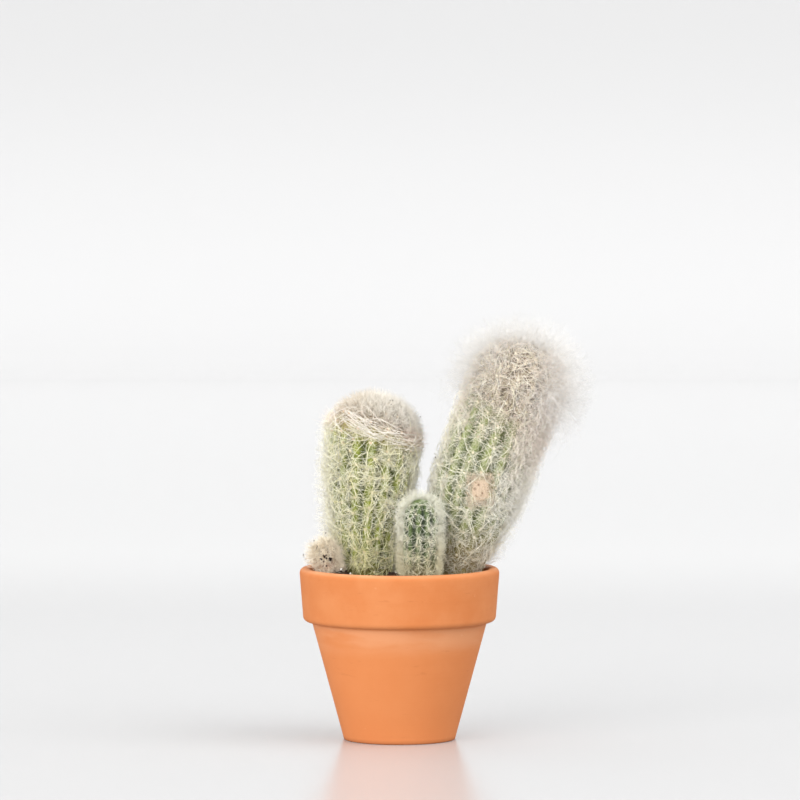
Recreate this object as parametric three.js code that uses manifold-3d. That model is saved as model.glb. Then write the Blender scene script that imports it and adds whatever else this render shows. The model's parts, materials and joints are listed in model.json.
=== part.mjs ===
// A potted old man cactus: a rimmed clay pot of soil holds two big ribbed stems, a small one between
// them and a woolly offset. Millimetres, +Z up. Everything is laid out round the pot's axis and then
// shifted as one, so that the origin is the middle of the whole plant's underside.
import * as THREE from "three";
import { mergeVertices } from "three/addons/utils/BufferGeometryUtils.js";
import Module from "manifold-3d";

const wasm = await Module();
wasm.setup();

// Clay pot: radii are outside ones unless named inner, and heights are above the surface it stands on.
const pot = {
  height: 69,
  footRadius: 22.5,
  footRound: 0.9,
  shoulderRadius: 35.1,
  shoulderHeight: 47.4,
  rimLowRadius: 38.7,
  rimLowHeight: 50,
  rimTopRadius: 40,
  rimRound: 2.4,
  innerTopRadius: 35.4,
  innerFloorRadius: 18.8,
  floor: 5,
  floorFillet: 1.6,
  drainRadius: 5.5,
  sides: 48,
  roundSteps: 3,
};

// Soil: it fills the pot to a little under the rim, with a lumpy top that dips along the wall.
const soil = {
  level: 63.6,
  gap: 0.3,
  lump: 0.6,
  wave: 11,
  wallDip: 0.5,
  rings: 6,
};

// How far the leaning stem's wool reaches from the pot's axis, which sets the shift of the whole plant.
const leanReach = 77.5;
const potShift = (pot.rimTopRadius - leanReach) / 2;

// Stems: path holds the four control points of a cubic Bezier axis, from the buried foot to the tip.
// footRadius grows to fullRadius by the share swell of the axis, and dome is the height of the round tip.
// rows is the number of facets along the axis. Wool is low long at the foot and high long at the tip,
// and longer by the share lean on the side towards +X, or shorter where that is negative.
const stems = {
  stem_left: {
    path: [[-14.4, 3, 54], [-13.6, 3, 82], [-11, 3, 108], [-10.2, 3, 136.8]],
    footRadius: 11.6, fullRadius: 17.3, swell: 0.78, dome: 14, rows: 12,
    ribs: 16, ribDepth: 2, areoleGap: 5.6,
    wool: { low: 4.6, high: 5.6, lean: -0.3, width: 1.15, tilt: 0.45 },
    seed: 11, colour: 0x9aa67c,
  },
  stem_right: {
    path: [[19.2, 3, 54], [23.4, 3, 88], [38, 2, 122], [52.4, 1, 158.6]],
    footRadius: 11, fullRadius: 17.5, swell: 0.5, dome: 15, rows: 14,
    ribs: 16, ribDepth: 2, areoleGap: 5.8,
    wool: { low: 4, high: 15, lean: 0.16, width: 1.4, tilt: 0.3 },
    seed: 23, colour: 0xb3b8a0,
  },
  stem_middle: {
    path: [[8, -17, 54], [8.2, -17, 68], [8.4, -17.2, 82], [8.5, -17.4, 97.8]],
    footRadius: 6, fullRadius: 7.2, swell: 0.6, dome: 8, rows: 8,
    ribs: 11, ribDepth: 1.1, areoleGap: 4.4,
    wool: { low: 3, high: 5.4, lean: 0, width: 1, tilt: 0.4 },
    seed: 37, colour: 0x7f9a78,
  },
  offset_left: {
    path: [[-26, -9, 57], [-26.6, -9.3, 64], [-28.8, -10.3, 72], [-31, -11.2, 80.6]],
    footRadius: 3.2, fullRadius: 5, swell: 0.8, dome: 6, rows: 6,
    ribs: 8, ribDepth: 0.7, areoleGap: 3,
    wool: { low: 2.6, high: 3, lean: 0, width: 0.8, tilt: 0.35 },
    seed: 41, colour: 0xc9b8a0,
  },
};
const thickenFrom = 0.05; // share of the axis below which a stem keeps its foot's radius
const ribFade = 0.12; // share of the axis above the soil over which the ribs rise
const ribColumns = 3; // facets round each rib: a flat crest and two flanks
const domeCrowding = 1.5; // draws the rows of facets together towards the tip
const axisSamples = 60;

// Holes in the soil for the buried feet of the stems.
const hole = { gap: 0.35, rows: 4, columns: 24 };

// Locks of wool: slim three-sided spikes, one on each areole, in rows that are staggered over the ribs.
const lock = {
  root: 1.5, // depth of its root in the stem
  clear: 0.9, // least space to the locks of another stem, to the pot and to the soil
  firstRow: 0.35, // how far the first row is from the tip, in areole gaps
  stagger: 0.3, // how much further it is on every second rib
  thinFrom: 0.55, // share of the full radius below which every second rib is bare
  overSoil: 0.02, // share of the axis that stays bare above the soil
  climb: 4, // how late the wool lengthens towards the tip
  vary: 0.12,
  shorten: 0.75,
  tries: 8,
};

// A repeatable random number from -1 to 1, by the common multiplicative rule.
function randomFrom(seed) {
  const factor = 16807;
  const range = 2 ** 31 - 1;
  let state = seed;
  return () => {
    state = (state * factor) % range;
    return (2 * state) / range - 1;
  };
}

function solidOf(geometry) {
  const bare = geometry.clone();
  bare.deleteAttribute("normal");
  bare.deleteAttribute("uv");
  const merged = mergeVertices(bare);
  return new wasm.Manifold(
    new wasm.Mesh({
      numProp: 3,
      vertProperties: new Float32Array(merged.attributes.position.array),
      triVerts: new Uint32Array(merged.index.array),
    }),
  );
}

function geometryOf(solid) {
  const { vertProperties, triVerts } = solid.getMesh();
  const geometry = new THREE.BufferGeometry();
  geometry.setAttribute("position", new THREE.BufferAttribute(vertProperties, 3));
  geometry.setIndex(new THREE.BufferAttribute(triVerts, 1));
  geometry.computeVertexNormals();
  return geometry;
}

function meshOf(name, geometry, color, roughness) {
  const material = new THREE.MeshStandardMaterial({ color, roughness, metalness: 0 });
  const mesh = new THREE.Mesh(geometry, material);
  mesh.name = name;
  return mesh;
}

// The pot's inner radius at a height.
function innerRadius(z) {
  const share = (z - pot.floor) / (pot.height - pot.rimRound - pot.floor);
  return THREE.MathUtils.lerp(pot.innerFloorRadius, pot.innerTopRadius, Math.min(share, 1));
}

function potGeometry() {
  const lipMiddle = (pot.rimTopRadius + pot.innerTopRadius) / 2;
  const lipLow = pot.height - pot.rimRound;
  const filletTop = pot.floor + pot.floorFillet;
  const outline = new THREE.Path();
  outline.moveTo(pot.drainRadius, 0);
  outline.lineTo(pot.footRadius - pot.footRound, 0);
  outline.quadraticCurveTo(pot.footRadius, 0, pot.footRadius, pot.footRound);
  outline.lineTo(pot.shoulderRadius, pot.shoulderHeight);
  outline.quadraticCurveTo(pot.rimLowRadius, pot.shoulderHeight, pot.rimLowRadius, pot.rimLowHeight);
  outline.lineTo(pot.rimTopRadius, lipLow);
  outline.quadraticCurveTo(pot.rimTopRadius, pot.height, lipMiddle, pot.height);
  outline.quadraticCurveTo(pot.innerTopRadius, pot.height, pot.innerTopRadius, lipLow);
  outline.lineTo(innerRadius(filletTop), filletTop);
  outline.lineTo(pot.innerFloorRadius - pot.floorFillet, pot.floor);
  outline.lineTo(pot.drainRadius, pot.floor);
  outline.closePath();
  return new THREE.LatheGeometry(outline.getPoints(pot.roundSteps), pot.sides).rotateX(Math.PI / 2);
}

// The axis point and the three directions of a stem at the share t of its axis.
function stemFrame(stem, t) {
  const middle = stem.curve.getPoint(t);
  const up = stem.curve.getTangent(t);
  const right = new THREE.Vector3(0, 1, 0).cross(up).normalize();
  const back = up.clone().cross(right);
  return { middle, up, right, back };
}

function stemRadius(stem, t) {
  const grown = THREE.MathUtils.smoothstep(t, thickenFrom, stem.swell);
  const body = THREE.MathUtils.lerp(stem.footRadius, stem.fullRadius, grown);
  const cap = Math.min(((1 - t) * stem.length) / stem.dome, 1);
  return body * Math.sqrt(Math.max(0, 1 - (1 - cap) ** 2));
}

// Ribs: round crests between sharp furrows, which fade out where the stem is buried.
function ribbedRadius(stem, t, angle) {
  const radius = stemRadius(stem, t);
  const crest = Math.abs(Math.cos((stem.ribs * angle) / 2));
  const shown = THREE.MathUtils.smoothstep(t, stem.soilShare, stem.soilShare + ribFade);
  const depth = stem.ribDepth * shown * Math.min(1, radius / stem.fullRadius);
  return radius - depth * (1 - crest);
}

// A closed column along a stem's axis, from its foot to the share end. It is turned as a cylinder of
// radius 1 over the shares, and radiusAt then gives each point its radius at a share and an angle.
// Its foot is pushed down the axis by the length sink.
function columnGeometry(stem, end, rows, columns, sink, radiusAt) {
  const closesAtTip = end === 1;
  const outline = [new THREE.Vector2(0, 0)];
  for (let row = 0; row < rows; row++) {
    const u = row / rows;
    outline.push(new THREE.Vector2(1, closesAtTip ? 1 - (1 - u) ** domeCrowding : u * end));
  }
  if (!closesAtTip) outline.push(new THREE.Vector2(1, end));
  outline.push(new THREE.Vector2(0, end));
  const halfColumn = Math.PI / columns;
  const geometry = new THREE.LatheGeometry(outline, columns, Math.PI / 2 + halfColumn);
  const place = geometry.attributes.position;
  for (let i = 0; i < place.count; i++) {
    const [x, share, z] = [place.getX(i), place.getY(i), place.getZ(i)];
    const { middle, up, right, back } = stemFrame(stem, share);
    const angle = Math.atan2(-z, x);
    const isOnAxis = Math.hypot(x, z) < 0.5;
    const radius = isOnAxis ? 0 : radiusAt(share, angle);
    middle.addScaledVector(right, radius * Math.cos(angle));
    middle.addScaledVector(back, radius * Math.sin(angle));
    if (share === 0) middle.addScaledVector(up, -sink);
    place.setXYZ(i, middle.x, middle.y, middle.z);
  }
  return geometry;
}

function stemCore(stem) {
  const columns = stem.ribs * ribColumns;
  const radiusAt = (t, angle) => ribbedRadius(stem, t, angle);
  return solidOf(columnGeometry(stem, 1, stem.rows, columns, 0, radiusAt));
}

// The plain round hole that a stem's buried foot stands in, a little deeper and wider than the foot.
function stemHole(stem) {
  const end = stem.soilShare + ribFade;
  const radiusAt = (t) => stemRadius(stem, t) + hole.gap;
  return solidOf(columnGeometry(stem, end, hole.rows, hole.columns, hole.gap, radiusAt));
}

// How far a point is outside a stem's skin.
function depthOutside(stem, point) {
  return Math.min(...stem.samples.map(({ middle, radius }) => middle.distanceTo(point) - radius));
}

// A lock may not come nearer to another stem than to its own, nor touch the soil or the pot.
function isClear(stem, point) {
  const own = depthOutside(stem, point);
  for (const other of Object.values(stems)) {
    if (other !== stem && depthOutside(other, point) < own + lock.clear) return false;
  }
  if (point.z < soil.level + soil.lump + lock.clear) return false;
  if (point.z > pot.height + lock.clear) return true;
  return Math.hypot(point.x, point.y) < innerRadius(point.z) - lock.clear;
}

function lockGeometry(base, way, length, width) {
  const spike = new THREE.ConeGeometry(width / 2, length + lock.root, 3);
  spike.translate(0, (length + lock.root) / 2 - lock.root, 0);
  spike.applyQuaternion(new THREE.Quaternion().setFromUnitVectors(new THREE.Vector3(0, 1, 0), way));
  return spike.translate(base.x, base.y, base.z);
}

// A lock is shortened step by step until it is clear of everything but its own stem, or left out.
function addLock(locks, stem, base, way, fullLength) {
  let length = fullLength;
  for (let tries = 0; tries < lock.tries; tries++) {
    const tip = base.clone().addScaledVector(way, length);
    const half = base.clone().addScaledVector(way, length / 2);
    if (isClear(stem, tip) && isClear(stem, half)) {
      locks.push(solidOf(lockGeometry(base, way, length, stem.wool.width)));
      return;
    }
    length *= lock.shorten;
  }
}

function stemLocks(stem) {
  const random = randomFrom(stem.seed);
  const { wool } = stem;
  const locks = [];
  const rows = Math.floor((stem.length * (1 - stem.soilShare)) / stem.areoleGap);
  for (let row = 0; row < rows; row++) {
    for (let rib = 0; rib < stem.ribs; rib++) {
      const [tiltUp, tiltRound, vary] = [random(), random(), random()];
      const fromTip = (row + lock.firstRow + lock.stagger * (rib % 2)) * stem.areoleGap;
      const t = 1 - fromTip / stem.length;
      const isCrowded = stemRadius(stem, t) < stem.fullRadius * lock.thinFrom && rib % 2 === 1;
      if (t < stem.soilShare + lock.overSoil || isCrowded) continue;
      const angle = (2 * Math.PI * rib) / stem.ribs;
      const { middle, up, right, back } = stemFrame(stem, t);
      const out = right.clone().multiplyScalar(Math.cos(angle)).addScaledVector(back, Math.sin(angle));
      const round = up.clone().cross(out);
      const step = 0.01;
      const slope = (stemRadius(stem, t - step) - stemRadius(stem, t + step)) / (2 * step * stem.length);
      const way = out.clone().addScaledVector(up, slope).normalize();
      way.addScaledVector(up, wool.tilt * tiltUp).addScaledVector(round, wool.tilt * tiltRound).normalize();
      const base = middle.addScaledVector(out, ribbedRadius(stem, t, angle));
      const reach = THREE.MathUtils.lerp(wool.low, wool.high, t ** lock.climb);
      const length = reach * (1 + wool.lean * Math.cos(angle)) * (1 + lock.vary * vary);
      addLock(locks, stem, base, way, length);
    }
  }
  return locks;
}

function soilTop(x, y) {
  const nearWall = Math.hypot(x, y) / innerRadius(soil.level);
  const u = (2 * Math.PI * x) / soil.wave;
  const v = (2 * Math.PI * y) / soil.wave;
  const lumps = (Math.sin(u) * Math.cos(v) + Math.sin(2 * u - v) / 2) / 1.5;
  return soil.level + soil.lump * lumps - soil.wallDip * nearWall ** 4;
}

function soilGeometry() {
  const bottom = pot.floor + soil.gap;
  const cornerTop = bottom + 2 * pot.floorFillet;
  const wall = (z) => innerRadius(z) - soil.gap;
  const outline = [new THREE.Vector2(0, bottom)];
  outline.push(new THREE.Vector2(pot.innerFloorRadius - 2 * pot.floorFillet, bottom));
  outline.push(new THREE.Vector2(wall(cornerTop), cornerTop));
  for (let ring = soil.rings; ring >= 0; ring--) {
    outline.push(new THREE.Vector2((wall(soil.level) * ring) / soil.rings, soil.level));
  }
  const geometry = new THREE.LatheGeometry(outline, pot.sides).rotateX(Math.PI / 2);
  const place = geometry.attributes.position;
  for (let i = 0; i < place.count; i++) {
    const isTop = place.getZ(i) > soil.level - 0.01;
    if (isTop) place.setZ(i, soilTop(place.getX(i), place.getY(i)));
  }
  return geometry;
}

// Each stem's curve, its length, samples along it and the share of it that is buried.
for (const stem of Object.values(stems)) {
  stem.curve = new THREE.CubicBezierCurve3(...stem.path.map((point) => new THREE.Vector3(...point)));
  stem.length = stem.curve.getLength();
  const shares = Array.from({ length: axisSamples + 1 }, (_, i) => i / axisSamples);
  stem.samples = shares.map((t) => ({ t, middle: stem.curve.getPoint(t), radius: stemRadius(stem, t) }));
  stem.soilShare = stem.samples.find((sample) => sample.middle.z > soil.level).t;
}

const plant = new THREE.Group();
plant.position.x = potShift;
plant.add(meshOf("pot", potGeometry(), 0xd9854f, 0.85));

let soilSolid = solidOf(soilGeometry());
for (const stem of Object.values(stems)) soilSolid = soilSolid.subtract(stemHole(stem));
plant.add(meshOf("soil", geometryOf(soilSolid), 0x3a2c22, 1));

for (const [name, stem] of Object.entries(stems)) {
  const solid = wasm.Manifold.union([stemCore(stem), ...stemLocks(stem)]);
  plant.add(meshOf(name, geometryOf(solid), stem.colour, 0.9));
}

const cactus = new THREE.Group();
cactus.add(plant);
export default cactus;
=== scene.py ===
import json
import math

import bmesh
import bpy
import numpy as np
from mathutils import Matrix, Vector


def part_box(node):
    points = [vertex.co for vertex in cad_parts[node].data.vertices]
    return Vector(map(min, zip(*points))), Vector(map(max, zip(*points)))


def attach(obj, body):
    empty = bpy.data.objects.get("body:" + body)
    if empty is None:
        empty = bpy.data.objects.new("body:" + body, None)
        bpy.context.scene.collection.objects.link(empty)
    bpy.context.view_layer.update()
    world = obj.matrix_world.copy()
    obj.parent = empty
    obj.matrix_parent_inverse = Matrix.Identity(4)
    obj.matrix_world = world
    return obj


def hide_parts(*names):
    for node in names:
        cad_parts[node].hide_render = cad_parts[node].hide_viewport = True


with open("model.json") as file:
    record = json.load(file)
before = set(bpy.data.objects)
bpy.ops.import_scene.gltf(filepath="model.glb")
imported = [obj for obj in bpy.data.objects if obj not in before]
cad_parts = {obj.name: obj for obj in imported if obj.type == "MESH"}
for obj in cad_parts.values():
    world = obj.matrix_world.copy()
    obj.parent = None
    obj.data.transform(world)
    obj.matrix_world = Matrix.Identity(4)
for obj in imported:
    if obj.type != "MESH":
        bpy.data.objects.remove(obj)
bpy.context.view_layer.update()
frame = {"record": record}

mm = 0.001
tau = 2 * math.pi
potLow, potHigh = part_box("pot")
# sizes below are in mm from the pot's axis, unless a note says otherwise
potAxis = np.array([(potLow.x + potHigh.x) / 2, (potLow.y + potHigh.y) / 2, 0])


# Shared helpers for meshes

def objectFrom(bm, name, material):
    mesh = bpy.data.meshes.new(name)
    bm.to_mesh(mesh)
    bm.free()
    mesh.materials.append(material)
    mesh.polygons.foreach_set("use_smooth", np.ones(len(mesh.polygons), dtype=bool))
    made = bpy.data.objects.new(name, mesh)
    bpy.context.scene.collection.objects.link(made)
    return made


def pieceFrom(bm, name, material, slotName, *nodes):
    piece = objectFrom(bm, name, material)
    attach(piece, "root")
    if nodes:
        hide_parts(*nodes)
    piece.data.calc_loop_triangles()
    print(name, "has", len(piece.data.loop_triangles), "triangles")
    return piece


def turnedShape(outline, steps, closed):
    # an outline of (radius, height) spun round the Z axis
    bm = bmesh.new()
    verts = [bm.verts.new((radius, 0, height)) for radius, height in outline]
    edges = [bm.edges.new(pair) for pair in zip(verts, verts[1:])]
    if closed:
        edges.append(bm.edges.new((verts[-1], verts[0])))
    bmesh.ops.spin(bm, geom=verts + edges, cent=(0, 0, 0), axis=(0, 0, 1), angle=tau, steps=steps,
                   use_merge=True)
    bmesh.ops.remove_doubles(bm, verts=bm.verts, dist=1e-7)
    bmesh.ops.recalc_face_normals(bm, faces=bm.faces)
    return bm


def movePoints(bm, move):
    # move takes every point in mm round the pot's axis and gives its place in the frame, in metres
    bm.verts.ensure_lookup_table()
    points = np.array([vert.co for vert in bm.verts])
    for vert, point in zip(bm.verts, move(points)):
        vert.co = point


def placed(points):
    return points * mm + potAxis


def turnAndPlace(bm, verts, out, place):
    # turns a lump's own Z axis to point out, and puts it in its place
    turn = Vector((0, 0, 1)).rotation_difference(Vector(out)).to_matrix()
    bmesh.ops.rotate(bm, verts=verts, cent=(0, 0, 0), matrix=turn)
    bmesh.ops.translate(bm, verts=verts, vec=place)


def giveAttribute(mesh, name, values):
    attribute = mesh.attributes.new(name, "FLOAT", "POINT")
    attribute.data.foreach_set("value", np.asarray(values, dtype=np.float32))


# Shared helpers for materials

def newMaterial(name, roughness, specular):
    material = bpy.data.materials.new(name)
    material.use_nodes = True
    shader = material.node_tree.nodes["Principled BSDF"]
    shader.inputs["Roughness"].default_value = roughness
    shader.inputs["Specular IOR Level"].default_value = specular
    return material, material.node_tree, shader


def addNode(tree, kind, **values):
    # values are set on the node where it has them, and on its sockets by name otherwise
    node = tree.nodes.new(kind)
    for name, value in values.items():
        if hasattr(node, name):
            setattr(node, name, value)
        else:
            node.inputs[name.replace("_", " ")].default_value = value
    return node


def blendColours(tree, factor, first, second):
    # first and second are colours or sockets
    mix = tree.nodes.new("ShaderNodeMix")
    mix.data_type = "RGBA"
    tree.links.new(factor, mix.inputs["Factor"])
    for value, socket in ((first, mix.inputs[6]), (second, mix.inputs[7])):
        if isinstance(value, tuple):
            socket.default_value = (*value, 1)
        else:
            tree.links.new(value, socket)
    return mix.outputs[2]


def rangeOf(tree, value, low, high):
    # 0 under low and 1 over high, softly
    node = tree.nodes.new("ShaderNodeMapRange")
    node.interpolation_type = "SMOOTHSTEP"
    node.inputs["From Min"].default_value = low
    node.inputs["From Max"].default_value = high
    tree.links.new(value, node.inputs["Value"])
    return node.outputs["Result"]


def multiply(tree, first, second):
    # the second may be a plain number
    node = addNode(tree, "ShaderNodeMath", operation="MULTIPLY")
    tree.links.new(first, node.inputs[0])
    if isinstance(second, (int, float)):
        node.inputs[1].default_value = second
    else:
        tree.links.new(second, node.inputs[1])
    return node.outputs["Value"]


def attributeOf(tree, name):
    node = tree.nodes.new("ShaderNodeAttribute")
    node.attribute_name = name
    return node.outputs["Fac"]


def axisOf(tree, axis):
    # one of the Object coordinates, in metres
    split = tree.nodes.new("ShaderNodeSeparateXYZ")
    place = tree.nodes.new("ShaderNodeTexCoord")
    tree.links.new(place.outputs["Object"], split.inputs["Vector"])
    return split.outputs[axis]


def noiseOf(tree, scale, detail, roughness, squeeze=None):
    # noise on Object coordinates, squeezed along each axis where that is asked
    place = tree.nodes.new("ShaderNodeTexCoord").outputs["Object"]
    if squeeze:
        mapping = addNode(tree, "ShaderNodeMapping", Scale=squeeze)
        tree.links.new(place, mapping.inputs["Vector"])
        place = mapping.outputs["Vector"]
    noise = addNode(tree, "ShaderNodeTexNoise", Scale=scale, Detail=detail, Roughness=roughness)
    tree.links.new(place, noise.inputs["Vector"])
    return noise.outputs["Fac"]


def makePatchGroup():
    # cloudy patches on Object coordinates: a mask that is 1 in a share of the surface
    group = bpy.data.node_groups.new("patches", "ShaderNodeTree")
    for name, value in (("Scale", 100), ("Low", 0.45), ("High", 0.6)):
        socket = group.interface.new_socket(name, in_out="INPUT", socket_type="NodeSocketFloat")
        socket.default_value = value
    group.interface.new_socket("Mask", in_out="OUTPUT", socket_type="NodeSocketFloat")
    given = group.nodes.new("NodeGroupInput")
    result = group.nodes.new("NodeGroupOutput")
    place = group.nodes.new("ShaderNodeTexCoord")
    noise = addNode(group, "ShaderNodeTexNoise", Detail=5, Roughness=0.6)
    spread = group.nodes.new("ShaderNodeMapRange")
    spread.interpolation_type = "SMOOTHSTEP"
    group.links.new(place.outputs["Object"], noise.inputs["Vector"])
    group.links.new(given.outputs["Scale"], noise.inputs["Scale"])
    group.links.new(noise.outputs["Fac"], spread.inputs["Value"])
    group.links.new(given.outputs["Low"], spread.inputs["From Min"])
    group.links.new(given.outputs["High"], spread.inputs["From Max"])
    group.links.new(spread.outputs["Result"], result.inputs["Mask"])
    return group


patchGroup = makePatchGroup()


def patches(tree, scale, low, high):
    node = tree.nodes.new("ShaderNodeGroup")
    node.node_tree = patchGroup
    for name, value in (("Scale", scale), ("Low", low), ("High", high)):
        node.inputs[name].default_value = value
    return node.outputs["Mask"]


def colourOver(tree, colour, other, mask, share):
    # another colour over part of the surface, at a share of its strength
    return blendColours(tree, multiply(tree, mask, share), colour, other)


def blendPatches(tree, colour, other, scale, low, high):
    return blendColours(tree, patches(tree, scale, low, high), colour, other)


def addBump(tree, shader, height, strength, distance):
    bump = addNode(tree, "ShaderNodeBump", Strength=strength, Distance=distance)
    tree.links.new(height, bump.inputs["Height"])
    tree.links.new(bump.outputs["Normal"], shader.inputs["Normal"])


# The clay pot

clayPot = {
    "height": 69, "footRadius": 22.5, "footRound": 0.9, "shoulderRadius": 35.1, "shoulderHeight": 47.4,
    "rimLowRadius": 38.7, "rimLowHeight": 50, "rimTopRadius": 40, "rimRound": 2.4,
    "innerTopRadius": 35.4, "innerFloorRadius": 18.8, "floor": 5, "floorFillet": 1.6,
    "drainRadius": 5.5, "drainRound": 0.6, "steps": 128, "cuts": 4, "longEdge": 6,
}
clayLook = {
    # body is a paler clay: painted light on the body below the shoulder, whose wall tilts away from the light
    "clay": (0.50, 0.163, 0.05), "pale": (0.535, 0.195, 0.069), "body": (0.57, 0.195, 0.065),
    # bloom is a pale bloom on the clay; under the rim it is laid on stronger, as painted light that lifts the
    # rim's shadow
    "bloom": (0.66, 0.34, 0.185), "dark": (0.29, 0.085, 0.028),
    "grainShare": 0.16, "streakShare": 0.16, "chipShare": 0.35, "bodyLightShare": 0.65, "bloomAndLightShare": 0.45,
    "grooveShadeShare": 0.12, "footShadeShare": 0.5, "paleLipShare": 0.6, "gritShare": 0.25,
    # from which height to which each one grows to its full strength
    "underShoulder": (47.4, 46.6), "bloomAndLightFoot": (34, 43.5), "bloomAndLightTop": (47.4, 46.2),
    "grooveFoot": (46.2, 47.2), "grooveTop": (48.2, 47.4), "footLine": (2, 0.4), "lip": (67.4, 68.8),
    "level": (1, 1, 4.5), "rings": (0.15, 0.15, 9),  # squeezes: bloom and streaks lie level, rings go round
}


def curved(start, corner, end, count=6):
    # points of a round corner, given by its two ends and the place where its sides would meet
    start, corner, end = np.array([start, corner, end], dtype=float)
    shares = np.linspace(0, 1, count + 1)[:, None]
    return list(start * (1 - shares) ** 2 + corner * 2 * shares * (1 - shares) + end * shares ** 2)


def innerRadius(z):
    share = (z - clayPot["floor"]) / (clayPot["height"] - clayPot["rimRound"] - clayPot["floor"])
    return clayPot["innerFloorRadius"] + (clayPot["innerTopRadius"] - clayPot["innerFloorRadius"]) * share


def makePot():
    p = clayPot
    foot, shoulder, shoulderZ = p["footRadius"], p["shoulderRadius"], p["shoulderHeight"]
    rimLow, rimTop, inner = p["rimLowRadius"], p["rimTopRadius"], p["innerTopRadius"]
    lipLow, lipMiddle = p["height"] - p["rimRound"], (rimTop + inner) / 2
    floor, fillet, drain, drainRound = p["floor"], p["floorFillet"], p["drainRadius"], p["drainRound"]
    outline = curved((drain, drainRound), (drain, 0), (drain + drainRound, 0))
    outline += curved((foot - p["footRound"], 0), (foot, 0), (foot, p["footRound"]))
    outline += curved((shoulder - 0.15, shoulderZ - 0.6), (shoulder, shoulderZ), (shoulder + 0.5, shoulderZ))
    outline += curved((shoulder + 0.7, shoulderZ), (rimLow, shoulderZ), (rimLow, p["rimLowHeight"]), 9)
    outline += curved((rimTop, lipLow), (rimTop, p["height"]), (lipMiddle, p["height"]), 9)
    outline += curved((lipMiddle - 0.01, p["height"]), (inner, p["height"]), (inner, lipLow), 9)
    outline += curved((innerRadius(floor + fillet), floor + fillet), (innerRadius(floor), floor),
                      (p["innerFloorRadius"] - fillet, floor))
    outline += curved((drain + drainRound, floor), (drain, floor), (drain, floor - drainRound))
    bm = turnedShape([tuple(point) for point in outline], p["steps"], True)
    upright = [edge for edge in bm.edges if abs(edge.verts[0].co.z - edge.verts[1].co.z) > p["longEdge"]]
    bmesh.ops.subdivide_edges(bm, edges=upright, cuts=p["cuts"], use_grid_fill=True)
    movePoints(bm, placed)
    pieceFrom(bm, "clay_pot", clayMaterial(), "terracotta", "pot")


def clayMaterial():
    material, tree, shader = newMaterial("terracotta", 0.82, 0.22)
    look = clayLook
    height = axisOf(tree, "Z")
    cloud = noiseOf(tree, 26, 4, 0.5, look["level"])
    streaks = noiseOf(tree, 90, 4, 0.6, look["level"])

    def band(name):
        low, high = look[name]
        return rangeOf(tree, height, low * mm, high * mm)

    # under the rim: the clay's pale bloom, made stronger and paler than it is, so partly painted light that
    # lifts the rim's shadow
    underRim = multiply(tree, band("bloomAndLightFoot"), band("bloomAndLightTop"))
    bloom = multiply(tree, rangeOf(tree, cloud, 0.3, 0.62), underRim)
    # painted shade: the clay darkens in the groove under the rim
    groove = multiply(tree, band("grooveFoot"), band("grooveTop"))
    # the lip's top is paler in cloudy patches
    paleLip = multiply(tree, band("lip"), rangeOf(tree, cloud, 0.3, 0.7))
    colour = blendPatches(tree, look["clay"], look["pale"], 45, 0.35, 0.7)
    colour = colourOver(tree, colour, look["dark"], patches(tree, 1400, 0.6, 0.75), look["grainShare"])
    # painted light: the body below the shoulder gets the paler clay, for the light its downward-tilted wall
    # misses
    colour = colourOver(tree, colour, look["body"], band("underShoulder"), look["bodyLightShare"])
    colour = colourOver(tree, colour, look["bloom"], bloom, look["bloomAndLightShare"])
    colour = colourOver(tree, colour, look["dark"], rangeOf(tree, streaks, 0.62, 0.74), look["streakShare"])
    colour = colourOver(tree, colour, look["bloom"], patches(tree, 260, 0.68, 0.78), look["chipShare"])
    colour = colourOver(tree, colour, look["dark"], groove, look["grooveShadeShare"])
    # painted shade along the foot's bottom edge, where the pot meets the table
    colour = colourOver(tree, colour, look["dark"], band("footLine"), look["footShadeShare"])
    colour = colourOver(tree, colour, look["bloom"], paleLip, look["paleLipShare"])
    tree.links.new(colour, shader.inputs["Base Color"])

    relief = addNode(tree, "ShaderNodeMath", operation="MULTIPLY_ADD")
    tree.links.new(noiseOf(tree, 2600, 3, 0.6), relief.inputs[0])
    relief.inputs[1].default_value = look["gritShare"]
    tree.links.new(noiseOf(tree, 60, 3, 0.5, look["rings"]), relief.inputs[2])
    addBump(tree, shader, relief.outputs["Value"], 0.35, 0.0002)
    return material


makePot()


# The stems' shapes: the same axes and radii as the solids have

stems = {
    "stem_left": {
        "path": [(-14.4, 3, 54), (-13.6, 3, 82), (-11, 3, 108), (-10.2, 3, 136.8)],
        "footRadius": 11.6, "fullRadius": 17.3, "swell": 0.78, "dome": 14,
        "ribs": 16, "ribDepth": 2.0, "areoleGap": 5.0,
    },
    "stem_right": {
        "path": [(19.2, 3, 54), (23.4, 3, 88), (38, 2, 122), (52.4, 1, 158.6)],
        "footRadius": 11, "fullRadius": 17.5, "swell": 0.5, "dome": 15,
        "ribs": 16, "ribDepth": 2.3, "areoleGap": 5.0,
    },
    "stem_middle": {
        "path": [(8, -17, 54), (8.2, -17, 68), (8.4, -17.2, 82), (8.5, -17.4, 97.8)],
        "footRadius": 6, "fullRadius": 7.2, "swell": 0.6, "dome": 8,
        "ribs": 11, "ribDepth": 1.2, "areoleGap": 3.9,
    },
    "offset_left": {
        "path": [(-26, -9, 57), (-26.6, -9.3, 64), (-28.8, -10.3, 72), (-31, -11.2, 80.6)],
        "footRadius": 3.2, "fullRadius": 5, "swell": 0.8, "dome": 6,
        "ribs": 8, "ribDepth": 0.7, "areoleGap": 3.0,
    },
}
soilLevel = 63.6
axisSteps = 3  # enough to find the point of an axis nearest to a place
ribs = {
    "fade": 0.12, "sharpness": 1.3, "firstRow": 0.4, "stagger": 0.5, "knobDepth": 0.2,
    "rowScatter": 0.16, "ribScatter": 0.13, "crowded": 0.5,
}


def smoothstep(value, low, high):
    share = np.clip((value - low) / (high - low), 0, 1)
    return share * share * (3 - 2 * share)


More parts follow.
